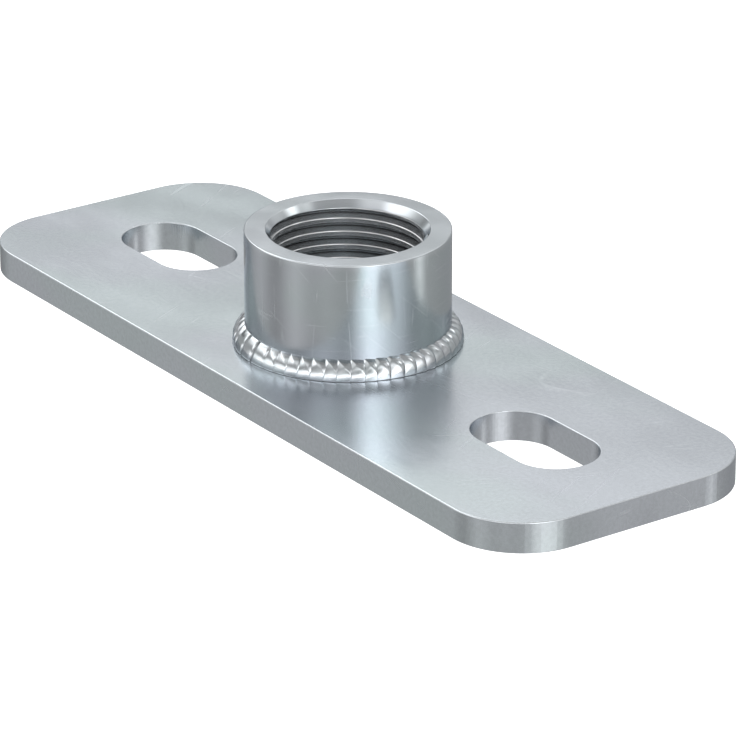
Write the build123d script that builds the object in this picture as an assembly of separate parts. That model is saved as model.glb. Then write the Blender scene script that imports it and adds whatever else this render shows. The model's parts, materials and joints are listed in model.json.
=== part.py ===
from build123d import *
import math
import os

# A base plate for pipe supports, in millimetres: a flat steel plate with a slot near each
# end, a pipe socket that stands on its middle, and the weld round the socket's foot.
# The origin is at the middle of the underside, with X along the plate and Z up.

# The plate is a piece of flat bar with rounded corners and lightly broken edges.
plate_length = 120.0
plate_width = 40.0
plate_thickness = 4.0
plate_corner_radius = 10.0
plate_edge_chamfer = 0.15

# The two slots lie along the plate, each the same distance from its own end.
slot_length = 19.0
slot_width = 11.0
slot_end_distance = 20.5
slot_edge_chamfer = 0.15

# The socket is turned from bar. Its bore is the tapping size of a half-inch pipe thread,
# closed below by the plate, with a chamfer at the mouth that leads a pipe in.
bore_diameter = 19.1
socket_wall = 3.65
socket_height = 15.0
mouth_chamfer_width = 0.95
mouth_chamfer_depth = 1.0
rim_edge_chamfer = 0.15

# The weld is one convex fillet round the foot of the socket, laid as overlapping scales.
# Each scale swells slowly to a ridge and then falls away steeply to the groove before the next.
weld_leg_on_plate = 1.55
weld_leg_on_wall = 2.5
weld_bulge = 0.52
scale_pitch = 1.65
scale_overlap = 0.12
scale_ridge_share = 0.55
scale_swell = 0.16
scale_fall = 0.13

# The weld starts and ends in a few longer scales, on one long side of the plate.
first_scale_angle = -82.0
long_scale_count = 3
long_scale_pitch = 2.65

# Sizes that follow from the ones above.
bore_radius = bore_diameter / 2
socket_radius = bore_radius + socket_wall
mouth_radius = bore_radius + mouth_chamfer_width
socket_top = plate_thickness + socket_height
slot_offset = plate_length / 2 - slot_end_distance
weld_toe_radius = socket_radius + weld_leg_on_plate


def base_plate():
    """The flat bar with its rounded corners, less the two slots, with every sharp edge broken."""
    outline = RectangleRounded(plate_length, plate_width, plate_corner_radius)
    slots = Locations((-slot_offset, 0), (slot_offset, 0)) * SlotOverall(slot_length, slot_width)
    plate = extrude(outline - slots, plate_thickness)
    for underside_or_top in (0, -1):
        face = plate.faces().sort_by(Axis.Z)[underside_or_top]
        plate = chamfer(face.outer_wire().edges(), plate_edge_chamfer)
        face = plate.faces().sort_by(Axis.Z)[underside_or_top]
        slot_rims = [edge for wire in face.inner_wires() for edge in wire.edges()]
        plate = chamfer(slot_rims, slot_edge_chamfer)
    return plate


def threaded_socket():
    """A turned sleeve: its half section, revolved round the pipe's axis."""
    section = Polyline(
        (bore_radius, plate_thickness),
        (socket_radius, plate_thickness),
        (socket_radius, socket_top - rim_edge_chamfer),
        (socket_radius - rim_edge_chamfer, socket_top),
        (mouth_radius, socket_top),
        (bore_radius, socket_top - mouth_chamfer_depth),
        close=True,
    )
    return revolve(Plane.XZ * make_face(section), Axis.Z)


def weld_arc():
    """Radius of the weld's round face and the middle of that round, seen in half section."""
    chord = math.hypot(weld_leg_on_plate, weld_leg_on_wall)
    radius = chord**2 / (8 * weld_bulge) + weld_bulge / 2
    outward = Vector(weld_leg_on_wall, weld_leg_on_plate) / chord
    between_toes = Vector(socket_radius + weld_leg_on_plate / 2, plate_thickness + weld_leg_on_wall / 2)
    return radius, between_toes - outward * (radius - weld_bulge)


def weld_scale(pitch):
    """One scale of the weld: two cones round the weld's own line that meet in a ridge."""
    radius, middle = weld_arc()
    half = pitch / 2 + scale_overlap
    outline = Polyline(
        (-half, 0),
        (-half, radius - scale_swell),
        (half * scale_ridge_share, radius),
        (half, radius - scale_fall),
        (half, 0),
        close=True,
    )
    weld_line = Plane(origin=(middle.X, 0, middle.Y), x_dir=(0, 1, 0), z_dir=(0, 0, 1))
    return weld_line * revolve(make_face(outline), Axis.X)


def scale_steps():
    """Angles that the scales take up, one after the other: the long ones, then the rest."""
    around = 2 * math.pi * weld_toe_radius
    rest = around - long_scale_count * long_scale_pitch
    count = round(rest / scale_pitch)
    pitches = [long_scale_pitch] * long_scale_count + [rest / count] * count
    return [(pitch, 360 * pitch / around) for pitch in pitches]


def weld_bead():
    """All scales set round the socket, joined, and trimmed to the corner that they fill."""
    scales = []
    angle = first_scale_angle
    for pitch, step in scale_steps():
        scales.append(Rot(0, 0, angle - step / 2) * weld_scale(pitch))
        angle -= step
    joined = scales[0].fuse(*scales[1:])
    corner = Circle(weld_toe_radius + weld_bulge) - Circle(socket_radius)
    return joined & Pos(0, 0, plate_thickness) * extrude(corner, socket_height)


pieces = {
    "base_plate": base_plate(),
    "threaded_socket": threaded_socket(),
    "weld_bead": weld_bead(),
}

os.makedirs("parts", exist_ok=True)
for name, solid in pieces.items():
    export_step(solid, f"parts/{name}.step")
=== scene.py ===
import json
import math

import bmesh
import bpy
import numpy as np
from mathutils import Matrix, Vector


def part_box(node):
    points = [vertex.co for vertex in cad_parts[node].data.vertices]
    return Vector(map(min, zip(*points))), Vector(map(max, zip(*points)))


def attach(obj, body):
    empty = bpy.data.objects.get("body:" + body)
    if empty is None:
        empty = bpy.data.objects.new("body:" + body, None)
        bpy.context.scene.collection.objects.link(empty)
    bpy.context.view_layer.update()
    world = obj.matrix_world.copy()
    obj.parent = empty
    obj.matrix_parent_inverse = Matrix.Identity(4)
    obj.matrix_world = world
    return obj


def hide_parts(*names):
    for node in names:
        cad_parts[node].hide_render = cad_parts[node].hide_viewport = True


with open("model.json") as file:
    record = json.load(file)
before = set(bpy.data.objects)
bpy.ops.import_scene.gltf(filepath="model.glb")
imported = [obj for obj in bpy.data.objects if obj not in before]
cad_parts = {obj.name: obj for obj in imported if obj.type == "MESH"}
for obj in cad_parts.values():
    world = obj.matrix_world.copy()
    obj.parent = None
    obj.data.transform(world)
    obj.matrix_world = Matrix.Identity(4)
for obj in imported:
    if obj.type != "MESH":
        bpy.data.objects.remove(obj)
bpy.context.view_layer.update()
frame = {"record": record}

# A steel base plate with two slots and a threaded pipe socket welded on its middle.
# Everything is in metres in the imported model's frame: X along the plate, Z up.
mm = 0.001

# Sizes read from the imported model.
plate_low, plate_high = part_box("base_plate")
socket_low, socket_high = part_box("threaded_socket")
mounts = {mount["name"]: mount["dims"] for mount in frame["record"]["mounts"]}
plate_length = plate_high[0] - plate_low[0]
plate_width = plate_high[1] - plate_low[1]
plate_top = plate_high[2]
plate_bottom = plate_low[2]
socket_top = socket_high[2]
socket_radius = (socket_high[0] - socket_low[0]) / 2
bore_radius = mounts["pipe_thread"]["r_mm"] * mm
slot_offset = mounts["fixing_slots"]["spacing_x_mm"] * mm / 2
slot_end_radius = mounts["fixing_slots"]["hole_r_mm"] * mm
slot_half_straight = mounts["fixing_slots"]["slot_length_mm"] * mm / 2 - slot_end_radius

# The plate's corners and the small rounds on its edges.
plate_corner_radius = 10.0 * mm
outline_edge_round = 0.16 * mm
slot_edge_round = 0.12 * mm

# The half-inch parallel pipe thread in the socket, right-handed.
thread_pitch = 1.814 * mm
thread_flank_angle = math.radians(27.5)
thread_root_radius = 10.4775 * mm
thread_root_round = 0.02 * mm
thread_root_flat = 0.26 * mm
thread_crest_round = 0.17 * mm
# The upper round of a crest passes this height at this angle.
thread_level = 16.695 * mm
thread_level_angle = math.radians(144.88)
# The groove runs out where its middle reaches this height, part way up the chamfer.
thread_top = 18.75 * mm
thread_run_out = 0.16 * mm
# Painted shade is full in the groove's lower corner and less in its upper one. Up the lower flank it
# falls to this much at this share of the way, and on to nothing.
upper_corner_shade = 0.6
flank_shade = 0.2
flank_shade_reach = 0.22

# The chamfer in the socket's mouth and the rounds on its edges.
mouth_chamfer_width = 0.92 * mm
mouth_chamfer_depth = 1.0 * mm
mouth_edge_round = 0.11 * mm
chamfer_foot_round = 0.045 * mm
rim_edge_round = 0.16 * mm
# Painted shade in the thread starts where the thread lies one round of the chamfer's foot outside
# the cone, and is full at this many rounds.
shade_clearance = 5

# The weld's half section is part of a circle that bulges between its two legs. Its ends turn a
# little further, into the wall and into the plate, where they are hidden.
weld_leg_on_plate = 1.55 * mm
weld_leg_on_wall = 2.5 * mm
weld_bulge = 0.52 * mm
weld_hidden_turn = math.radians(4)
# The toe on the plate is cut under from this place across the section. Places run from 0 at the wall
# to 1 at the plate.
toe_undercut = 0.11 * mm
toe_start = 0.9

# The weld is laid in overlapping scales, most of them alike and a few longer ones where it ends.
first_scale_angle = math.radians(-82.0)
short_scale_count = 48
long_scale_count = 3
long_scale_turn = math.radians(10.4)
scale_depth = 0.16 * mm
long_scale_depth = 0.24 * mm
scale_crescent = math.radians(1.1)
# How a scale rises to its ridge and falls behind it: 1 is straight, more is rounder on top.
scale_rise_power = 1.45
scale_fall_power = 1.9
long_scale_power = 8.0
# The ridge's place along a scale, and how far it shifts between the wall and the plate. It lies
# askew in the first scales and square in the later ones.
first_ridge_share = 0.70
later_ridge_share = 0.55
long_ridge_share = 0.5
ridge_limits = (0.06, 0.94)
first_ridge_slant = 1.5
later_ridge_slant = 0.7
slant_change_start = math.radians(-40)
slant_change_end = math.radians(-14)
# The welder's first scales are the flattest, and the later ones are deeper.
calm_middle = math.radians(-78)
calm_width = math.radians(18)
calm_share = 0.4
later_depth_gain = 0.3
# The scales fade towards the wall and, more so, towards the plate.
wall_fade = 0.5
plate_fade = 0.85
fade_power = 6
# How much steps, depths, ridges and crescents vary from scale to scale.
weld_seed = 7
step_spread = 0.04
depth_range = (0.85, 1.2)
ridge_spread = 0.06
crescent_range = (0.6, 1.4)
# Uneven lumps all over the weld, as a sum of waves.
lump_waves = 14
lump_half_waves_per_metre = (0.5 / mm, 2.6 / mm)
lump_height = 0.004 * mm
# Painted shade on the weld: full in the long scales' grooves and at the toe, less elsewhere.
short_groove_shade = 0.12
toe_shade_start = 0.93
wall_shade = 0.5
wall_shade_end = 0.07
shade_edge = 0.02

# How finely the surfaces are cut.
turn_columns = 320
corner_columns = 24
edge_round_steps = 4
root_round_steps = 3
crest_round_steps = 4
mouth_edge_steps = 3
rising_columns = 14
falling_columns = 8
weld_rows = 40
# The bore's wall has more rows at the foot of the chamfer, at these distances from it in rounds,
# from this many chamfer depths below the rim.
foot_rows = (-3, -1, 0, 1, 3)
foot_rows_reach = 1.5

# Points nearer than this are one point.
merge_distance = 0.00005 * mm
# Edges that turn more than this stay sharp.
sharp_angle = math.radians(26)


def grid_quads(rows, columns, closed=True):
    """Quads of a grid of points: each joins a point, its neighbour and the two in the next row. The
    last row meets the first and, if the grid is closed, so does the last column."""
    steps = columns if closed else columns - 1
    row, column = np.meshgrid(np.arange(rows), np.arange(steps), indexing="ij")
    next_row, next_column = (row + 1) % rows, (column + 1) % columns
    corners = (
        row * columns + column,
        row * columns + next_column,
        next_row * columns + next_column,
        next_row * columns + column,
    )
    return np.stack(corners, axis=-1).reshape(-1, 4)


def new_mesh(name, points, quads, chart, painted_shade):
    """A mesh from points and quads, with coincident points merged and its faces turned outward."""
    mesh = bpy.data.meshes.new(name)
    mesh.vertices.add(len(points))
    mesh.vertices.foreach_set("co", points.astype(np.float32).ravel())
    mesh.loops.add(quads.size)
    mesh.loops.foreach_set("vertex_index", quads.astype(np.int32).ravel())
    mesh.polygons.add(len(quads))
    mesh.polygons.foreach_set("loop_start", np.arange(0, quads.size, quads.shape[1], dtype=np.int32))
    mesh.update(calc_edges=True)
    if chart is not None:
        layer = mesh.uv_layers.new(name="chart")
        layer.data.foreach_set("uv", chart[quads].astype(np.float32).ravel())
    # Each point's share of painted shade, for the material.
    if painted_shade is not None:
        layer = mesh.attributes.new("painted_shade", "FLOAT", "POINT")
        layer.data.foreach_set("value", painted_shade.astype(np.float32).ravel())
    work = bmesh.new()
    work.from_mesh(mesh)
    bmesh.ops.remove_doubles(work, verts=work.verts, dist=merge_distance)
    bmesh.ops.recalc_face_normals(work, faces=work.faces)
    work.to_mesh(mesh)
    work.free()
    return mesh


def new_piece(name, points, quads, material, node, chart=None, painted_shade=None):
    """A finished piece that stands for a CAD node. The chart is each point's place along and across
    the surface, for the UV map, and the last is each point's share of painted shade, from 0 to 1."""
    mesh = new_mesh(name, points, quads, chart, painted_shade)
    mesh.shade_smooth()
    mesh.set_sharp_from_angle(angle=sharp_angle)
    mesh.materials.append(material)
    piece = bpy.data.objects.new(name, mesh)
    bpy.context.collection.objects.link(piece)
    even = piece.modifiers.new("even shading", "WEIGHTED_NORMAL")
    even.keep_sharp = True
    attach(piece, "root")
    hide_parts(node)
    return piece


def eased(value, low, high):
    """A smooth step: 0 at and below low, 1 at and above high."""
    share = np.clip((value - low) / (high - low), 0, 1)
    return share * share * (3 - 2 * share)


def arc(start, end, steps):
    """Cosines and sines of evenly spaced angles from start to end."""
    angle = np.linspace(start, end, steps + 1)
    return np.cos(angle), np.sin(angle)


# The plate.


def half_circle(middle, radius, start):
    """Half a circle, anticlockwise from the start angle: points and outward directions."""
    cosines, sines = arc(start, start + math.pi, 2 * corner_columns)
    outward = np.stack([cosines, sines], axis=-1)
    return np.array(middle) + radius * outward, outward


def slot_rim():
    """The right slot's rim, anticlockwise: its right end, then its left end."""
    right_end = (slot_offset + slot_half_straight, 0)
    left_end = (slot_offset - slot_half_straight, 0)
    right, right_outward = half_circle(right_end, slot_end_radius, -math.pi / 2)
    left, left_outward = half_circle(left_end, slot_end_radius, math.pi / 2)
    return np.concatenate([right, left]), np.concatenate([right_outward, left_outward])


def half_outline():
    """The right half of the plate's outline, anticlockwise from the middle of its front edge, then
    back along the plate's middle line, where nothing points outward."""
    corner_x = plate_length / 2 - plate_corner_radius
    corner_y = plate_width / 2 - plate_corner_radius
    points, outward = [[[0.0, -plate_width / 2]]], [[[0.0, -1.0]]]
    for middle, start in (((corner_x, -corner_y), -math.pi / 2), ((corner_x, corner_y), 0.0)):
        cosines, sines = arc(start, start + math.pi / 2, corner_columns)
        direction = np.stack([cosines, sines], axis=-1)
        points.append(np.array(middle) + plate_corner_radius * direction)
        outward.append(direction)
    down = np.linspace(plate_width / 2, -plate_width / 2, corner_columns)[1:-1]
    middle_line = np.stack([np.zeros_like(down), down], axis=-1)
    points += [[[0.0, plate_width / 2]], middle_line]
    outward += [[[0.0, 1.0]], np.zeros_like(middle_line)]
    return np.concatenate(points), np.concatenate(outward)


def seen_from_slot(points):
    """The direction of each point from the slot's middle, as an angle."""
    return np.mod(np.arctan2(points[:, 1], points[:, 0] - slot_offset), 2 * math.pi)


def plate_rings():
    """Matching loops round the right half of the plate and round the right slot. Both get a point in
    every direction in which either has one, on the straight line between their own."""
    outline, outward = half_outline()
    rim, rim_outward = slot_rim()
    directions = np.unique(np.concatenate([seen_from_slot(outline), seen_from_slot(rim)]))
    loops = []
    for own, values in ((outline, outline), (outline, outward), (rim, rim), (rim, rim_outward)):
        seen = seen_from_slot(own)
        columns = [np.interp(directions, seen, column, period=2 * math.pi) for column in values.T]
        loops.append(np.stack(columns, axis=-1))
    outline, outward, rim, rim_outward = loops
    on_middle_line = outline[:, 0] < merge_distance
    between_edges = np.abs(outline[:, 1]) < plate_width / 2 - merge_distance
    outward[on_middle_line & between_edges] = 0.0
    return outline, outward, rim, rim_outward


def plate_section():
    """The plate's section in four quarter rounds: the slot's lower and upper edge, then the
    outline's upper and lower edge. Each point is on the outline or on the slot's rim, and at the top
    or not, and has an inset from there and a height."""
    cosines, sines = arc(0, math.pi / 2, edge_round_steps)
    inset = np.concatenate([1 - cosines[::-1], 1 - cosines] * 2)
    drop = np.concatenate([1 - sines[::-1], 1 - sines] * 2)
    quarter = np.repeat(np.arange(4), edge_round_steps + 1)
    on_outline = quarter >= 2
    upper = (quarter == 1) | (quarter == 2)
    size = np.where(on_outline, outline_edge_round, slot_edge_round)
    height = np.where(upper, plate_top - size * drop, plate_bottom + size * drop)
    return on_outline, upper, size * inset, height


def half_plate():
    """Points and quads of the right half of the plate: the rim moved out and the outline moved in by
    the section's inset, at its height. The middle line isn't rounded, so it stays level."""
    outline, outward, rim, rim_outward = plate_rings()
    on_outline, upper, inset, height = plate_section()
    at_rim = rim[None] + rim_outward[None] * inset[:, None, None]
    at_outline = outline[None] - outward[None] * inset[:, None, None]
    flat = np.where(on_outline[:, None, None], at_outline, at_rim)
    on_middle = np.linalg.norm(outward, axis=1) == 0
    face = np.where(upper, plate_top, plate_bottom)
    level = np.where(on_outline[:, None] & on_middle[None], face[:, None], height[:, None])
    points = np.concatenate([flat, level[..., None]], axis=-1)
    return points.reshape(-1, 3), grid_quads(len(height), len(outline))


def is_middle_wall(points, quads):
    """Quads that lie wholly on the plate's middle plane, where the two halves meet."""
    return (np.abs(points[quads][:, :, 0]) < merge_distance).all(axis=1)


def base_plate(material):
    """The plate: its right half, and the same half turned half a turn about Z."""
    points, quads = half_plate()
    quads = quads[~is_middle_wall(points, quads)]
    turned = points * np.array([-1.0, -1.0, 1.0])
    both_points = np.concatenate([points, turned])
    both_quads = np.concatenate([quads, quads + len(points)])
    return new_piece("plate", both_points, both_quads, material, "base_plate")


# The socket.


def groove_side():
    """The thread's section from a crest's middle up to its groove's lower corner, as heights, radii
    and painted shade: the crest's round, the straight flank and the tight round of the corner."""
    slope = math.tan(thread_flank_angle)
    turn = math.pi / 2 - thread_flank_angle
    root_cos, root_sin = arc(-turn, 0, root_round_steps)
    root_height = (thread_pitch - thread_root_flat) / 2 + thread_root_round * root_sin
    root_radius = thread_root_radius - thread_root_round + thread_root_round * root_cos
    corner = root_height[0] - (root_radius[0] - bore_radius) * slope
    crest_cos, crest_sin = arc(0, turn, crest_round_steps)
    crest_height = corner - thread_crest_round * math.tan(turn / 2) + thread_crest_round * crest_sin
    crest_radius = bore_radius + thread_crest_round * (1 - crest_cos)
    part_way = flank_shade_reach * (crest_radius[-1] - root_radius[0])
    heights = np.concatenate([crest_height, [root_height[0] + part_way * slope], root_height])
    radii = np.concatenate([crest_radius, [root_radius[0] + part_way], root_radius])
    groove_shade = np.concatenate([np.zeros_like(crest_height), [flank_shade], np.ones_like(root_height)])
    return heights, radii, groove_shade


def thread_profile():
    """One pitch of the thread from crest to crest: the groove's lower side, the middle of its root
    without painted shade, and its upper side, which is the lower one mirrored with less painted
    shade."""
    heights, radii, groove_shade = groove_side()
    return (
        np.concatenate([heights, [thread_pitch / 2], thread_pitch - heights[::-1]]),
        np.concatenate([radii, [radii[-1]], radii[::-1]]),
        np.concatenate([groove_shade, [0.0], upper_corner_shade * groove_shade[::-1]]),
    )


def crest_middle(angle, heights):
    """The height of a crest's middle, which climbs one pitch a turn. The thread's level is that of
    the middle point of the crest's upper round."""
    climb = (angle - thread_level_angle) / (2 * math.pi) * thread_pitch
    return thread_level + climb - heights[crest_round_steps // 2]


def thread_at(height, angle, heights, values, filled):
    """A profile's value at a height and angle: it repeats each pitch. It fades to the filled value
    where the groove's middle nears the thread's top."""
    along = np.mod(height - crest_middle(angle, heights), thread_pitch)
    value = np.interp(along, heights, values, period=thread_pitch)
    groove_middle = height - along + thread_pitch / 2
    return filled + (value - filled) * eased(thread_top - groove_middle, 0.0, thread_run_out)


def mouth_radius(height):
    """The chamfer's cone: it widens from the bore by the chamfer's width over its depth."""
    rise = height - (socket_top - mouth_chamfer_depth)
    return bore_radius + rise * mouth_chamfer_width / mouth_chamfer_depth


def thread_rows(low, high, angles, heights):
    """Heights of the wall's points for every angle: a row for each point of the profile in each turn
    of the helix, cut off at low and high."""
    crest = crest_middle(angles, heights)
    first = math.floor((low - crest.max()) / thread_pitch) - 1
    last = math.ceil((high - crest.min()) / thread_pitch) + 1
    turns = np.arange(first, last + 1)
    rows = crest[None, None] + turns[:, None, None] * thread_pitch + heights[None, :, None]
    return np.sort(np.clip(rows.reshape(-1, len(angles)), low, high), axis=0)


def chamfer_foot_rows(rows, over, high):
    """Rows beside the line where the thread meets the cone. Between two rows the line is where the
    thread's lead over the cone, taken as straight, falls to nothing."""
    change = over[:-1] - over[1:]
    share = np.clip(over[:-1] / np.where(np.abs(change) > 0, change, 1), 0, 1)
    crossing = rows[:-1] + share * (rows[1:] - rows[:-1])
    near_mouth = (crossing > high - foot_rows_reach * mouth_chamfer_depth).any(axis=1)
    return np.concatenate([crossing[near_mouth] + step * chamfer_foot_round for step in foot_rows])


def alike_at_seam(rows):
    """The same heights with the first and the last column alike, which lie on one line of the wall:
    each of their heights moves to the nearest height that both columns have."""
    apart = np.abs(rows[:, 0, None] - rows[None, :, -1])
    shared = rows[apart.min(axis=1) < merge_distance, 0]
    for column in (0, -1):
        nearest = np.abs(rows[:, column, None] - shared).argmin(axis=1)
        rows[:, column] = shared[nearest]
    return rows


def bore_wall(low, high, angles):
    """The bore's wall as a grid of heights, radii and painted shade. The radius is the larger of the
    thread's and the cone's, made smooth by a small round where they meet."""
    heights, radii, groove_shade = thread_profile()
    rows = thread_rows(low, high, angles, heights)
    over = thread_at(rows, angles, heights, radii, bore_radius) - mouth_radius(rows)
    rows = np.concatenate([rows, chamfer_foot_rows(rows, over, high)])
    rows = alike_at_seam(np.sort(np.clip(rows, low, high), axis=0))
    thread = thread_at(rows, angles, heights, radii, bore_radius)
    cone = mouth_radius(rows)
    radius = (thread + cone + np.sqrt((thread - cone) ** 2 + 4 * chamfer_foot_round**2)) / 2
    below_mouth = eased(thread - cone, chamfer_foot_round, shade_clearance * chamfer_foot_round)
    # Painted shade: darker in the groove's corners and up its lower flank, where shade falls.
    painted_shade = thread_at(rows, angles, heights, groove_shade, 0.0) * below_mouth
    return rows, radius, painted_shade


def round_corner(radius, height, start, end, size, steps):
    """A small round in the half section: points of an arc with its middle at radius and height."""
    cosines, sines = arc(start, end, steps)
    return radius + size * cosines, height + size * sines


def mouth_edge():
    """The round between the mouth's cone and the flat rim, from the cone up. It touches the rim one
    tangent's length outside the corner of the two."""
    size = mouth_edge_round
    cone = math.atan2(mouth_chamfer_depth, mouth_chamfer_width)
    middle = bore_radius + mouth_chamfer_width + size * math.tan(cone / 2)
    start = math.pi / 2 + cone
    return round_corner(middle, socket_top - size, start, math.pi / 2, size, mouth_edge_steps)


def rim_edge():
    """The round between the flat rim and the outer wall, from the rim down."""
    size = rim_edge_round
    middle = socket_radius - size
    return round_corner(middle, socket_top - size, math.pi / 2, 0, size, edge_round_steps)


def threaded_socket(material):
    """The socket: one closed half section, up the bore's wall, over the mouth's edge and the rim and
    down the outer wall, carried round the axis."""
    angles = np.linspace(0, 2 * math.pi, turn_columns + 1)
    inner_r, inner_z = mouth_edge()
    outer_r, outer_z = rim_edge()
    height, radius, painted_shade = bore_wall(plate_top, inner_z[0], angles)
    fixed_r = np.concatenate([inner_r, outer_r, [socket_radius]])
    fixed_z = np.concatenate([inner_z, outer_z, [plate_top]])
    ring = np.ones_like(angles)
    radius = np.concatenate([radius, fixed_r[:, None] * ring])
    height = np.concatenate([height, fixed_z[:, None] * ring])
    painted_shade = np.concatenate([painted_shade, np.zeros((len(fixed_z), len(angles)))])
    points = np.stack([radius * np.cos(angles), radius * np.sin(angles), height], axis=-1)
    quads = grid_quads(len(radius), len(angles), closed=False)
    return new_piece(
        "socket", points.reshape(-1, 3), quads, material, "threaded_socket",
        painted_shade=painted_shade,
    )


# The weld.

weld_chord = math.hypot(weld_leg_on_plate, weld_leg_on_wall)
weld_round = weld_chord**2 / (8 * weld_bulge) + weld_bulge / 2
weld_inset = (weld_round - weld_bulge) / weld_chord
weld_middle_r = socket_radius + weld_leg_on_plate / 2 - weld_leg_on_wall * weld_inset
weld_middle_z = plate_top + weld_leg_on_wall / 2 - weld_leg_on_plate * weld_inset


def scale_ends(random):
    """Angles at which the scales meet: the short ones in nearly equal steps, then the long ones."""
    short_scale_turn = (2 * math.pi - long_scale_count * long_scale_turn) / short_scale_count
    steps = [short_scale_turn] * short_scale_count + [long_scale_turn] * long_scale_count
    ends = first_scale_angle + np.concatenate([[0.0], np.cumsum(steps)])
    spread = step_spread * short_scale_turn
    ends[1:short_scale_count] += random.normal(0, spread, short_scale_count - 1)
    return ends


def scale_shapes(random, starts):
    """For every scale, by the angle it starts at: how deep its ends lie, where its ridge is, how far
    the ridge slants and how far its ends bend. All vary a little from scale to scale."""
    count = len(starts)
    long = np.arange(count) >= short_scale_count
    calm = calm_share * np.exp(-(((starts - calm_middle) / calm_width) ** 2))
    later = eased(starts, slant_change_start, slant_change_end)
    short_depth = scale_depth * (1 - calm) * (1 + later_depth_gain * later)
    depth = np.where(long, long_scale_depth, short_depth) * random.uniform(*depth_range, count)
    ridge = first_ridge_share + (later_ridge_share - first_ridge_share) * later
    ridge = ridge + random.uniform(-ridge_spread, ridge_spread, count)
    ridge = np.where(long, long_ridge_share, ridge)
    slant = first_ridge_slant + (later_ridge_slant - first_ridge_slant) * later
    slant = np.where(long, 0.0, slant)
    crescent = scale_crescent * random.uniform(*crescent_range, count)
    return long, depth, ridge, slant, crescent


def scale_places(long, ridge, slant, across):
    """Places along each scale from 0 to 1, the first ones on its rise and the others on its fall, and
    the drop at each: its distance from the ridge, as a share of its side, to a power."""
    rise = np.arange(rising_columns) / rising_columns
    fall = np.arange(falling_columns) / falling_columns
    ridge = np.clip(ridge + slant * (across - 0.5), *ridge_limits)[..., None]
    place = np.concatenate([ridge * rise, ridge + (1 - ridge) * fall], axis=-1)
    rise_power = np.where(long, long_scale_power, scale_rise_power)[:, None]
    fall_power = np.where(long, long_scale_power, scale_fall_power)[:, None]
    drop = np.concatenate([(1 - rise) ** rise_power, fall**fall_power], axis=-1)
    return place.reshape(len(across), -1), drop.ravel()


def small_lumps(random, along, across):
    """Uneven lumps: a sum of sine waves with random directions, lengths and phases."""
    lumps = np.zeros(np.broadcast_shapes(along.shape, across.shape))
    for _ in range(lump_waves):
        half_waves = random.uniform(*lump_half_waves_per_metre)
        direction = random.uniform(0, math.pi)
        phase = random.uniform(0, 2 * math.pi)
        place = along * math.cos(direction) + across * math.sin(direction)
        lumps += np.sin(math.pi * half_waves * place + phase)
    return lumps * lump_height / math.sqrt(lump_waves)


def weld_painted_shade(across, drop, long):
    """Painted shade from 0 to 1: most in the long scales' grooves and where the bead meets plate and
    wall.
    """
    # Painted shade in the grooves, along the toe and at the wall, where shade falls in the creases.
    in_groove = drop**2 * np.where(long, 1.0, short_groove_shade)
    at_toe = np.clip((across - toe_shade_start) / shade_edge, 0, 1)
    at_wall = wall_shade * np.clip((wall_shade_end - across) / shade_edge, 0, 1)
    return np.clip(in_groove + at_toe + at_wall, 0, 1)


def bead_section(across):
    """The angle round the section's circle at each place across it, from the wall to the plate."""
    start = math.acos((socket_radius - weld_middle_r) / weld_round) + weld_hidden_turn
    end = math.asin((plate_top - weld_middle_z) / weld_round) - weld_hidden_turn
    return start + (end - start) * across


def bead_angles(ends, crescent, scale, place, across):
    """The angle round the axis at each point: its place between the ends of its scale, which bend
    into crescents, the most half way between the wall and the plate."""
    bend = crescent[scale] * (1 - place) + np.roll(crescent, -1)[scale] * place
    return ends[scale] + np.diff(ends)[scale] * place + bend * (1 - (2 * across - 1) ** 2)


def bead_size(across, pushed_in):
    """Distance from the section's middle: the circle's radius, less how far the scales push it in,
    which fades towards both sides, and less the undercut at the toe."""
    share = 1 - wall_fade * (1 - across) ** fade_power - plate_fade * across**fade_power
    undercut = toe_undercut * np.clip((across - toe_start) / (1 - toe_start), 0, 1) ** 2
    return weld_round - share * pushed_in - undercut


def bead_points(angle, section, size):
    """The bead's face, at its size from the section's middle, and a last row along that middle,
    inside the corner, which closes the section."""
    size = np.vstack([size, np.zeros(angle.shape[1])])
    angle = np.vstack([angle, angle[-1]])
    section = np.append(section, 0.0)[:, None]
    radius = weld_middle_r + size * np.cos(section)
    height = weld_middle_z + size * np.sin(section)
    return np.stack([radius * np.cos(angle), radius * np.sin(angle), height], axis=-1)


def weld_bead(material):
    """The bead on a grid of angle and place across its section, which is part of a circle from the
    wall to the plate. Each scale pushes it in by its depth times the drop below its ridge."""
    random = np.random.default_rng(weld_seed)
    ends = scale_ends(random)
    long, depth, ridge, slant, crescent = scale_shapes(random, ends[:-1])
    scale = np.repeat(np.arange(len(long)), rising_columns + falling_columns)
    across = np.linspace(0, 1, weld_rows)[:, None]
    place, drop = scale_places(long, ridge, slant, across)
    section = bead_section(across)
    angle = bead_angles(ends, crescent, scale, place, across)
    lumps = small_lumps(random, angle * socket_radius, section * weld_round)
    size = bead_size(across, drop * depth[scale] - lumps)
    points = bead_points(angle, section, size)

    across = np.append(across, 1.0)[:, None]
    place = np.vstack([place, place[-1]])
    chart = np.stack(np.broadcast_arrays(scale + place, across), axis=-1)
    painted_shade = weld_painted_shade(across, drop, long[scale])
    quads = grid_quads(*place.shape)
    return new_piece(
        "weld", points.reshape(-1, 3), quads, material, "weld_bead",
        chart=chart.reshape(-1, 2), painted_shade=painted_shade,
    )


# Materials. Sizes of patches, marks and bumps are lengths on the steel.

# Zinc that looks a little green or a little violet, in patches, and the steel's other shades.
green_zinc = (0.612, 0.672, 0.688)
violet_zinc = (0.628, 0.660, 0.702)
bright_zinc = (0.74, 0.78, 0.81)
# Painted shade towards the socket's foot.
shaded_zinc = (0.30, 0.325, 0.345)
grazing_tint = (0.76, 0.78, 0.80)
bore_steel = (0.73, 0.74, 0.75)
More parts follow.
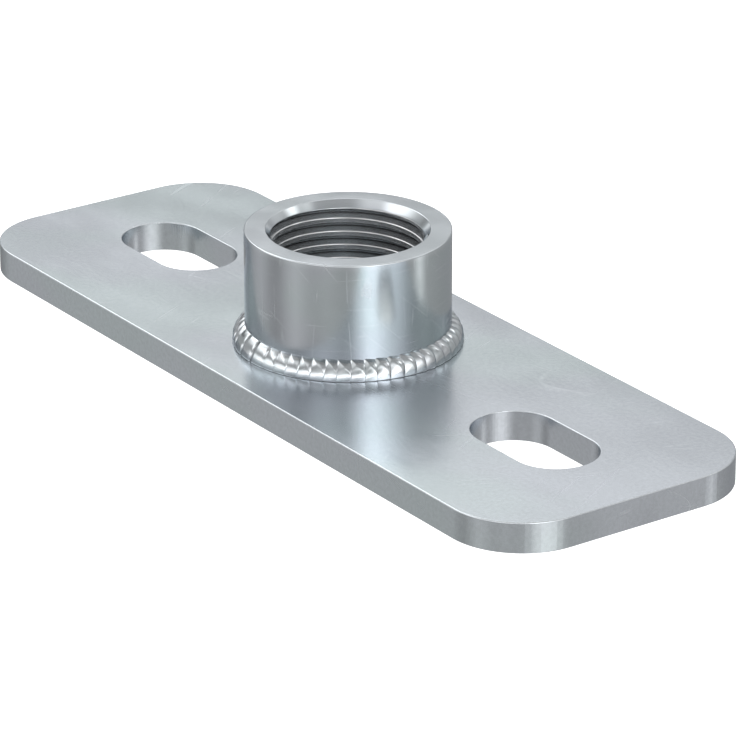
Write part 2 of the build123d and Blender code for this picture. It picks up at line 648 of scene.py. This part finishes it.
# Painted highlight on the thread's crests.
highlight_steel = (0.96, 0.97, 0.98)
# Painted shade in the thread's grooves.
thread_shade = (0.05, 0.05, 0.052)
grey_weld = (0.66, 0.71, 0.73)
bright_weld = (0.72, 0.75, 0.78)
# Painted shade in the weld's grooves and creases.
weld_shade = (0.10, 0.105, 0.11)

# The middle of a noise's values, and how many finer layers it has where it isn't said otherwise.
noise_middle = 0.5
noise_detail = 3.0
# A scratch is full up to this share of its width from its middle, and gone at the next.
scratch_core = 0.1
scratch_edge = 0.5
# From one direction to the next the noise moves by this share of the spacing.
scratch_shift = 0.37
# The patches that hold scratches are this many spacings wide, and fade over this part of the noise.
scratch_patch = 2.2
scratch_patch_edge = 0.08
# Scratched steel is this much rougher.
scratch_roughness = 0.06


def feed(tree, value, socket):
    """Give a socket a value: another node's output, or a plain number or vector."""
    if isinstance(value, bpy.types.NodeSocket):
        tree.links.new(value, socket)
    else:
        socket.default_value = value


def feed_all(tree, node, values):
    """Give several of a node's inputs their values, by name."""
    for name, value in values.items():
        feed(tree, value, node.inputs[name])


def math_node(tree, operation, *values):
    """A Math node whose inputs are linked sockets or plain numbers. Returns its output."""
    node = tree.nodes.new("ShaderNodeMath")
    node.operation = operation
    for socket, value in zip(node.inputs, values):
        feed(tree, value, socket)
    return node.outputs[0]


def product(tree, first, second):
    """The first value times the second."""
    return math_node(tree, "MULTIPLY", first, second)


def added(tree, value, factor, total):
    """The total with the value times the factor added to it."""
    return math_node(tree, "MULTIPLY_ADD", value, factor, total)


def separate(tree, vector):
    """The X, Y and Z of a vector."""
    node = tree.nodes.new("ShaderNodeSeparateXYZ")
    feed(tree, vector, node.inputs[0])
    return node.outputs["X"], node.outputs["Y"], node.outputs["Z"]


def ramp(tree, value, low, high, out_low=0.0, out_high=1.0):
    """A smooth step: out_low at and below low, out_high at and above high."""
    node = tree.nodes.new("ShaderNodeMapRange")
    node.interpolation_type = "SMOOTHSTEP"
    limits = {"From Min": low, "From Max": high, "To Min": out_low, "To Max": out_high}
    feed_all(tree, node, {"Value": value, **limits})
    return node.outputs["Result"]


def fall(tree, value, low, high):
    """A smooth step down: 1 at and below low, 0 at and above high."""
    return ramp(tree, value, low, high, 1.0, 0.0)


def mix_colour(tree, share, first, second):
    """The first colour where the share is 0 and the second where it is 1."""
    node = tree.nodes.new("ShaderNodeMix")
    node.data_type = "RGBA"
    feed(tree, share, node.inputs[0])
    for colour, socket in ((first, node.inputs[6]), (second, node.inputs[7])):
        feed(tree, colour if isinstance(colour, bpy.types.NodeSocket) else (*colour, 1), socket)
    return node.outputs[2]


def noise(tree, place, size, stretch=(1, 1, 1), turn=0, shift=0.0, detail=noise_detail):
    """Noise about 0.5 in patches of the given size, stretched along the axes after a turn about Z
    in degrees."""
    mapping = tree.nodes.new("ShaderNodeMapping")
    mapping.vector_type = "TEXTURE"
    feed_all(tree, mapping, {
        "Vector": place,
        "Location": (shift, shift, shift),
        "Rotation": (0, 0, math.radians(turn)),
        "Scale": [size * factor for factor in stretch],
    })
    texture = tree.nodes.new("ShaderNodeTexNoise")
    feed_all(tree, texture, {"Vector": mapping.outputs[0], "Scale": 1.0, "Detail": detail})
    return texture.outputs[0]


def patches(tree, pattern, spread, low=0.0, high=1.0):
    """Noise made into patches: low where it is a spread under its middle, high a spread over it."""
    return ramp(tree, pattern, noise_middle - spread, noise_middle + spread, low, high)


def scratches(tree, place, spacing, length, width, turns, clear_share):
    """Sparse thin lines: contour lines of stretched noise in several directions, faded in patches
    where other noise lies below the clear share."""
    marks = 0.0
    for number, turn in enumerate(turns):
        stretch = (length / spacing, 1, 1)
        shift = scratch_shift * number * spacing
        lines = noise(tree, place, spacing, stretch, turn, shift, detail=0.0)
        off_line = math_node(tree, "ABSOLUTE", math_node(tree, "SUBTRACT", lines, noise_middle))
        thin = fall(tree, off_line, scratch_core * width / spacing, scratch_edge * width / spacing)
        cover = noise(tree, place, scratch_patch * spacing, shift=number * spacing, detail=1.0)
        here = ramp(tree, cover, clear_share, clear_share + scratch_patch_edge)
        marks = added(tree, thin, here, marks)
    return math_node(tree, "MINIMUM", marks, 1.0)


def bumps(tree, shader, heights):
    """A Bump node over the sum of patterns, each with its height in metres, for the shader."""
    total = 0.0
    for pattern, height in heights:
        total = added(tree, pattern, height / mm, total)
    node = tree.nodes.new("ShaderNodeBump")
    feed_all(tree, node, {"Distance": mm, "Height": total})
    feed(tree, node.outputs["Normal"], shader.inputs["Normal"])


def painted_shade_share(tree):
    """How much painted shade the mesh gives a point."""
    painted_shade = tree.nodes.new("ShaderNodeAttribute")
    painted_shade.attribute_name = "painted_shade"
    return painted_shade.outputs["Fac"]


def zinc(name):
    """A new zinc-plated material: itself, its node tree, its shader, its Object coordinates and the
    direction that each point faces."""
    material = bpy.data.materials.new(name)
    material.use_nodes = True
    tree = material.node_tree
    shader = tree.nodes["Principled BSDF"]
    feed_all(tree, shader, {"Metallic": 1.0, "Specular Tint": (*grazing_tint, 1)})
    coordinates = tree.nodes.new("ShaderNodeTexCoord")
    return material, tree, shader, coordinates.outputs["Object"], coordinates.outputs["Normal"]


# The plate's finish.
plate_patch_size = 22 * mm
plate_patch_spread = 0.12
plate_patch_turn = 25
speckle_size = 0.5 * mm
speckle_shades = (0.965, 1.03)
grain_size = 0.16 * mm
grain_height = 0.0016 * mm
wave_size = 7 * mm
wave_height = 0.007 * mm
plate_roughness = (0.185, 0.265)
plate_roughness_size = 9 * mm
# Speckle and roughness go from low to high over this much of the noise on each side of its middle.
wide_spread = 0.2
# Patches, waves and grain are this much longer along the plate.
plate_patch_stretch = (1.8, 1, 1)
grain_stretch = (1.6, 1, 1)
wave_stretch = (2.5, 1, 1)
roughness_stretch = (2, 1, 1)
# Light scratches in three directions, in degrees from the plate's length.
plate_scratches = {
    "spacing": 5 * mm,
    "length": 80 * mm,
    "width": 0.06 * mm,
    "turns": (12, 64, 118),
    "clear_share": 0.56,
}
plate_scratch_share = 0.12
plate_scratch_height = 0.0002 * mm
# An edge is where the steel faces neither sideways nor up: how upright it faces at both ends.
edge_from_side = (0.05, 0.3)
edge_to_face = (0.75, 0.97)


def rubbed_edges(tree, facing):
    """1 on the plate's rounded edges and 0 on its faces and sides."""
    upright = math_node(tree, "ABSOLUTE", separate(tree, facing)[2])
    return product(tree, ramp(tree, upright, *edge_from_side), fall(tree, upright, *edge_to_face))


def plate_colour(tree, place, facing, marks):
    """Patches of two tints, brighter on rubbed edges and scratches, with a fine speckle over all."""
    tint = noise(tree, place, plate_patch_size, plate_patch_stretch, plate_patch_turn)
    colour = mix_colour(tree, patches(tree, tint, plate_patch_spread), green_zinc, violet_zinc)
    colour = mix_colour(tree, rubbed_edges(tree, facing), colour, bright_zinc)
    colour = mix_colour(tree, product(tree, marks, plate_scratch_share), colour, bright_zinc)
    speckle = patches(tree, noise(tree, place, speckle_size), wide_spread, *speckle_shades)
    shade = tree.nodes.new("ShaderNodeVectorMath")
    shade.operation = "SCALE"
    feed_all(tree, shade, {"Vector": colour, "Scale": speckle})
    return shade.outputs[0]


def flat_bar_steel():
    """The plate: patches of tint, speckle, fine grain, rolled waves, scratches and rubbed edges."""
    material, tree, shader, place, facing = zinc("zinc plated flat bar")
    marks = scratches(tree, place, **plate_scratches)
    feed(tree, plate_colour(tree, place, facing, marks), shader.inputs["Base Color"])
    rough = noise(tree, place, plate_roughness_size, roughness_stretch, detail=4.0)
    rough = patches(tree, rough, wide_spread, *plate_roughness)
    feed(tree, added(tree, marks, scratch_roughness, rough), shader.inputs["Roughness"])
    grain = noise(tree, place, grain_size, grain_stretch)
    waves = noise(tree, place, wave_size, wave_stretch, detail=1.0)
    heights = ((grain, grain_height), (waves, wave_height), (marks, plate_scratch_height))
    bumps(tree, shader, heights)
    return material


# The socket's finish.
socket_patch_size = 9 * mm
socket_patch_spread = 0.14
ring_spacing = 0.14 * mm
ring_height = 0.0006 * mm
upright_line_spacing = 0.55 * mm
upright_line_stretch = (1, 60, 1)
upright_line_height = 0.0025 * mm
socket_roughness = (0.15, 0.22)
socket_roughness_size = 4 * mm
# Scratches on the unrolled outer wall, in degrees from level: most are nearly level or upright.
socket_scratches = {
    "spacing": 2.2 * mm,
    "length": 45 * mm,
    "width": 0.06 * mm,
    "turns": (1, 87, 93, 137),
    "clear_share": 0.50,
}
socket_scratch_share = 0.5
socket_scratch_height = 0.0006 * mm
# The outer wall is darker towards its foot, as painted shade near the weld: fully up to this height
# above the plate and less from there to the top.
foot_shade_height = 2 * mm
foot_shade_share = 0.1
# The chamfer and the rim were faced bright. The bore is duller, with painted shade in the thread's
# grooves.
faced_share = 0.65
bore_edge = 0.1 * mm
bore_share = 0.8
bore_metallic_loss = 0.16
bore_roughness_loss = 0.04
thread_shade_share = 0.9
# The upper sides of the thread's crests, facing up to the light, get a painted highlight: how far
# they reach out from the bore's radius, and how much they face up, from where the highlight starts
# to where it is full.
crest_reach = (0.08 * mm, 0.2 * mm)
crest_facing = (0.1, 0.5)


def round_the_axis(tree, place):
    """A point's distance from the socket's axis, its height, and its place on the outer wall laid
    out flat: the angle times the wall's radius, and the height."""
    x, y, z = separate(tree, place)
    radius = math_node(tree, "SQRT", added(tree, x, x, product(tree, y, y)))
    flat = tree.nodes.new("ShaderNodeCombineXYZ")
    along = product(tree, math_node(tree, "ARCTAN2", y, x), socket_radius)
    feed_all(tree, flat, {"X": along, "Y": z})
    return radius, z, flat.outputs[0]


def in_bore(tree, radius, height):
    """1 in the threaded bore, 0 on the chamfer, the rim and the outer wall."""
    mouth_foot = socket_top - mouth_chamfer_depth
    within = fall(tree, radius, thread_root_radius - bore_edge, thread_root_radius + bore_edge)
    return product(tree, within, fall(tree, height, mouth_foot - bore_edge, mouth_foot + bore_edge))


def crest_highlights(tree, radius, facing, bore):
    """Painted highlight: 1 on the upper sides of the thread's crests, which face the light, 0
    elsewhere.
    """
    start, end = crest_reach
    crest = fall(tree, radius, bore_radius + start, bore_radius + end)
    facing_up = ramp(tree, separate(tree, facing)[2], *crest_facing)
    return product(tree, bore, product(tree, crest, facing_up))


def outer_wall_colour(tree, place, height, outside, marks):
    """Patches of two tints, darkened towards the foot as painted shade near the weld, with bright
    scratches.
    """
    tint = patches(tree, noise(tree, place, socket_patch_size), socket_patch_spread)
    colour = mix_colour(tree, tint, green_zinc, violet_zinc)
    foot_shade = ramp(tree, height, plate_top + foot_shade_height, socket_top, foot_shade_share, 0.0)
    # Painted shade: the outer wall gets darker towards its foot near the weld.
    colour = mix_colour(tree, product(tree, foot_shade, outside), colour, shaded_zinc)
    return mix_colour(tree, product(tree, marks, socket_scratch_share), colour, bright_zinc)


def bore_colour(tree, colour, radius, height, facing, bore):
    """The same, but bright on the chamfer and the rim, and in the bore dull steel with painted
    highlights on the crests' upper sides and painted shade in the grooves."""
    top = ramp(tree, height, socket_top - mouth_chamfer_depth, socket_top)
    faced = math_node(tree, "SUBTRACT", top, bore)
    colour = mix_colour(tree, product(tree, faced, faced_share), colour, bright_zinc)
    colour = mix_colour(tree, product(tree, bore, bore_share), colour, bore_steel)
    # Painted highlight on the upper sides of the thread's crests.
    colour = mix_colour(tree, crest_highlights(tree, radius, facing, bore), colour, highlight_steel)
    # Painted shade in the thread's grooves.
    return mix_colour(tree, product(tree, painted_shade_share(tree), thread_shade_share), colour, thread_shade)


def turning_rings(tree, radius, height):
    """Fine rings: noise along height plus radius, so that they run round walls, rim and chamfer."""
    rings = tree.nodes.new("ShaderNodeTexNoise")
    rings.noise_dimensions = "1D"
    along = math_node(tree, "ADD", height, radius)
    feed_all(tree, rings, {"W": along, "Scale": 1 / ring_spacing, "Detail": noise_detail})
    return rings.outputs[0]


def turned_steel():
    """The socket: patches of tint, fine rings left by turning, faint upright lines and scratches on
    its outer wall, painted shade towards its foot, and a dull bore that the plating barely reached,
    with painted highlights on its crests and painted shade in its grooves."""
    material, tree, shader, place, facing = zinc("zinc plated turned steel")
    radius, height, wall = round_the_axis(tree, place)
    outside = ramp(tree, radius, socket_radius - 2 * rim_edge_round, socket_radius - rim_edge_round)
    bore = in_bore(tree, radius, height)
    marks = product(tree, scratches(tree, wall, **socket_scratches), outside)
    colour = outer_wall_colour(tree, place, height, outside, marks)
    colour = bore_colour(tree, colour, radius, height, facing, bore)
    feed(tree, colour, shader.inputs["Base Color"])
    feed(tree, added(tree, bore, -bore_metallic_loss, 1.0), shader.inputs["Metallic"])

    rough = noise(tree, place, socket_roughness_size)
    rough = patches(tree, rough, wide_spread, *socket_roughness)
    rough = added(tree, marks, scratch_roughness, rough)
    feed(tree, added(tree, bore, -bore_roughness_loss, rough), shader.inputs["Roughness"])
    rings = turning_rings(tree, radius, height)
    lines = product(tree, noise(tree, wall, upright_line_spacing, upright_line_stretch), outside)
    heights = ((rings, ring_height), (lines, upright_line_height), (marks, socket_scratch_height))
    bumps(tree, shader, heights)
    return material


# The weld's finish. Ripples are measured in scales along the weld and in its section's width across.
weld_patch_size = 2.2 * mm
weld_patch_spread = 0.15
weld_shade_share = 0.85
weld_roughness = (0.06, 0.13)
weld_roughness_size = 0.8 * mm
shade_roughness = 0.25
ripple_size = 0.11
ripple_stretch = (1, 9, 1)
ripple_height = 0.003 * mm
weld_lump_size = 0.45 * mm
weld_lump_height = 0.003 * mm
pit_size = 0.3 * mm
pit_range = (0.24, 0.34)
pit_depth = 0.004 * mm
# The first scales and the last short ones are rougher and lumpier: how many, by the chart.
first_rough_scales = (3, 7)
last_rough_scales = 3
rough_scale_roughness = 0.05
rough_scale_lumps = 0.8


def rough_scales(tree, chart):
    """1 on the first scales, and on the last short ones as they near the long ones."""
    along = separate(tree, chart)[0]
    last = ramp(tree, along, short_scale_count - last_rough_scales, short_scale_count)
    return math_node(tree, "ADD", fall(tree, along, *first_rough_scales), last)


def weld_steel():
    """The weld: patches of tint, fine ripples on each scale, small lumps, pits and painted shade in
    creases.
    """
    material, tree, shader, place, _ = zinc("zinc plated weld")
    chart = tree.nodes.new("ShaderNodeUVMap")
    chart.uv_map = "chart"
    chart = chart.outputs[0]
    painted_shade = painted_shade_share(tree)
    rougher = rough_scales(tree, chart)
    tint = patches(tree, noise(tree, place, weld_patch_size), weld_patch_spread)
    colour = mix_colour(tree, tint, grey_weld, bright_weld)
    # Painted shade in the weld's grooves and creases.
    colour = mix_colour(tree, product(tree, painted_shade, weld_shade_share), colour, weld_shade)
    feed(tree, colour, shader.inputs["Base Color"])
    rough = noise(tree, place, weld_roughness_size)
    rough = patches(tree, rough, wide_spread, *weld_roughness)
    rough = added(tree, painted_shade, shade_roughness, rough)
    feed(tree, added(tree, rougher, rough_scale_roughness, rough), shader.inputs["Roughness"])
    ripples = noise(tree, chart, ripple_size, ripple_stretch, detail=2.0)
    lumps = noise(tree, place, weld_lump_size)
    lumps = product(tree, lumps, added(tree, rougher, rough_scale_lumps, 1.0))
    pits = ramp(tree, noise(tree, place, pit_size, detail=1.0), *pit_range)
    heights = ((ripples, ripple_height), (lumps, weld_lump_height), (pits, pit_depth))
    bumps(tree, shader, heights)
    return material


# The studio.

# Each soft box: the azimuth of its middle anticlockwise from +X, its half width and soft edge, then
# the elevation of its middle, its half height and soft edge, all in degrees, and its brightness. A
# negative brightness takes light away. A box whose edge is wider than its half has no even middle.
soft_boxes = {
    "left key": ((-136, 30, 9), (44, 12.5, 9), 1.2),
    "left key top": ((-84, 24, 18), (60, 12, 12), 0.5),
    "right key": ((68, 8, 6), (41, 7, 7), 1.6),
    "right key top": ((46, 10, 9), (51, 6, 8), 0.6),
    "right fill": ((94, 14, 10), (33, 20, 10), 0.24),
    "front": ((-10, 12, 15), (20, 14, 18), 2.45),
    "front top": ((-33, 16, 14), (43, 7, 8), 0.8),
    "front left strip": ((-74, 68, 12), (5, 9, 6), 1.15),
    "front fill": ((14, 16, 16), (20, 14, 18), 1.1),
    "front low": ((0, 19.5, 17), (-40, 35, 15), 0.66),
    "narrow low": ((51, 4, 7), (-40, 30, 12), 0.76),
    "left low": ((-95, 10, 18), (-40, 35, 15), 0.2),
    "front left low": ((-58, 10, 10), (-40, 35, 15), 0.06),
    "far left low": ((-150, 10, 10), (-40, 35, 15), 0.11),
    "far left low flag": ((-121, 9, 9), (-40, 35, 15), -0.08),
    "right low": ((92, 14, 12), (-40, 35, 15), -0.02),
    "back flag": ((175, 10, 9), (-40, 35, 15), -0.08),
    "back": ((145, 35, 20), (57, 22, 14), 0.75),
    "back low": ((164, 13, 32), (35.5, 8.4, 11.7), 3.85),
    "back left flag": ((174, 11, 9), (24, 8, 6), -0.55),
    "right soft": ((52, 12, 10), (20, 8, 8), 0.17),
    "back strip": ((174, 6, 5), (6.5, 3, 3), 0.8),
    "back strip right": ((117, 8, 8), (4, 4, 6), 0.35),
    "front left": ((-62, 16, 16), (20, 14, 15), 0.42),
    "overhead": ((0, 200, 1), (90, 14, 7), -0.13),
}
room_brightness = 0.41
# The white that the camera sees behind the object, and the floor's own white and glow.
backdrop_brightness = 1.2
floor_white = (0.8, 0.8, 0.8)
floor_glow = 1.1
floor_half_side = 3.0
floor_gap = 0.02 * mm


def soft_window(tree, angle, middle, half, edge):
    """1 within the half on both sides of the middle and 0 outside it, with the soft edge between.
    The angle is in radians and may pass half a turn, and the others are in degrees."""
    offset = math_node(tree, "SUBTRACT", angle, math.radians(middle))
    offset = math_node(tree, "WRAP", offset, math.pi, -math.pi)
    distance = math_node(tree, "ABSOLUTE", offset)
    return fall(tree, distance, math.radians(half - edge), math.radians(half + edge))


def room_light(tree):
    """The room's brightness by direction: an even grey and all the soft boxes."""
    coordinates = tree.nodes.new("ShaderNodeTexCoord")
    x, y, z = separate(tree, coordinates.outputs["Generated"])
    azimuth = math_node(tree, "ARCTAN2", y, x)
    elevation = math_node(tree, "ARCSINE", z)
    light = room_brightness
    for sideways, upright, brightness in soft_boxes.values():
        across = soft_window(tree, azimuth, *sideways)
        along = soft_window(tree, elevation, *upright)
        light = added(tree, product(tree, across, along), brightness, light)
    return light


def white_light(tree, brightness):
    """A white background of the given brightness."""
    node = tree.nodes.new("ShaderNodeBackground")
    feed_all(tree, node, {"Color": (1, 1, 1, 1), "Strength": brightness})
    return node.outputs[0]


def mix_shaders(tree, share, first, second):
    """The first shader where the share is 0 and the second where it is 1."""
    node = tree.nodes.new("ShaderNodeMixShader")
    for value, socket in zip((share, first, second), node.inputs):
        feed(tree, value, socket)
    return node.outputs[0]


def studio_light():
    """A grey room with soft boxes on its walls, as a function of direction. The camera sees white."""
    world = bpy.data.worlds.new("studio")
    bpy.context.scene.world = world
    world.use_nodes = True
    tree = world.node_tree
    tree.nodes.clear()
    to_camera = tree.nodes.new("ShaderNodeLightPath").outputs["Is Camera Ray"]
    room = white_light(tree, room_light(tree))
    backdrop = white_light(tree, backdrop_brightness)
    output = tree.nodes.new("ShaderNodeOutputWorld")
    feed(tree, mix_shaders(tree, to_camera, room, backdrop), output.inputs["Surface"])


def floor_material():
    """White that glows a little, and clear seen from below, so that the plate's underside shows."""
    material = bpy.data.materials.new("floor white")
    material.use_nodes = True
    tree = material.node_tree
    shader = tree.nodes["Principled BSDF"]
    feed_all(tree, shader, {
        "Base Color": (*floor_white, 1),
        "Roughness": 1.0,
        "Specular IOR Level": 0.0,
        "Emission Color": (1, 1, 1, 1),
        "Emission Strength": floor_glow,
    })
    from_below = tree.nodes.new("ShaderNodeNewGeometry").outputs["Backfacing"]
    clear = tree.nodes.new("ShaderNodeBsdfTransparent").outputs[0]
    mix = mix_shaders(tree, from_below, shader.outputs[0], clear)
    feed(tree, mix, tree.nodes["Material Output"].inputs["Surface"])
    return material


def studio_floor():
    """A plain white floor just under the plate. The steel mirrors the room and not the floor."""
    half, level = floor_half_side, plate_bottom - floor_gap
    corners = [(-half, -half, level), (half, -half, level), (half, half, level), (-half, half, level)]
    mesh = bpy.data.meshes.new("floor")
    mesh.from_pydata(corners, [], [(0, 1, 2, 3)])
    mesh.materials.append(floor_material())
    floor = bpy.data.objects.new("floor", mesh)
    bpy.context.collection.objects.link(floor)
    floor.visible_glossy = False
    floor.visible_shadow = False


# The camera stands where the photograph was taken from, aimed at a point near the plate's middle.
photo_azimuth = math.radians(54.88)
photo_elevation = math.radians(22.725)
camera_distance = 608.08 * mm
camera_aim = Vector((1.45, 2.06, -0.16)) * mm
camera_lens = 232.75
camera_sensor = 36.0
# It sees what is up to this many times nearer or farther than its aim.
camera_range = 100


def photo_camera():
    """A camera at the photograph's direction and distance, turned to its aim."""
    camera = bpy.data.objects.new("camera", bpy.data.cameras.new("camera"))
    bpy.context.collection.objects.link(camera)
    across, up = math.cos(photo_elevation), math.sin(photo_elevation)
    back = Vector((math.sin(photo_azimuth) * across, -math.cos(photo_azimuth) * across, up))
    camera.location = camera_aim + back * camera_distance
    camera.rotation_euler = (-back).to_track_quat("-Z", "Y").to_euler()
    camera.data.lens = camera_lens
    camera.data.sensor_width = camera_sensor
    camera.data.clip_start = camera_distance / camera_range
    camera.data.clip_end = camera_distance * camera_range
    bpy.context.scene.camera = camera


studio_light()
studio_floor()
photo_camera()
bpy.context.scene.view_settings.view_transform = "Standard"

base_plate(flat_bar_steel())
threaded_socket(turned_steel())
weld_bead(weld_steel())
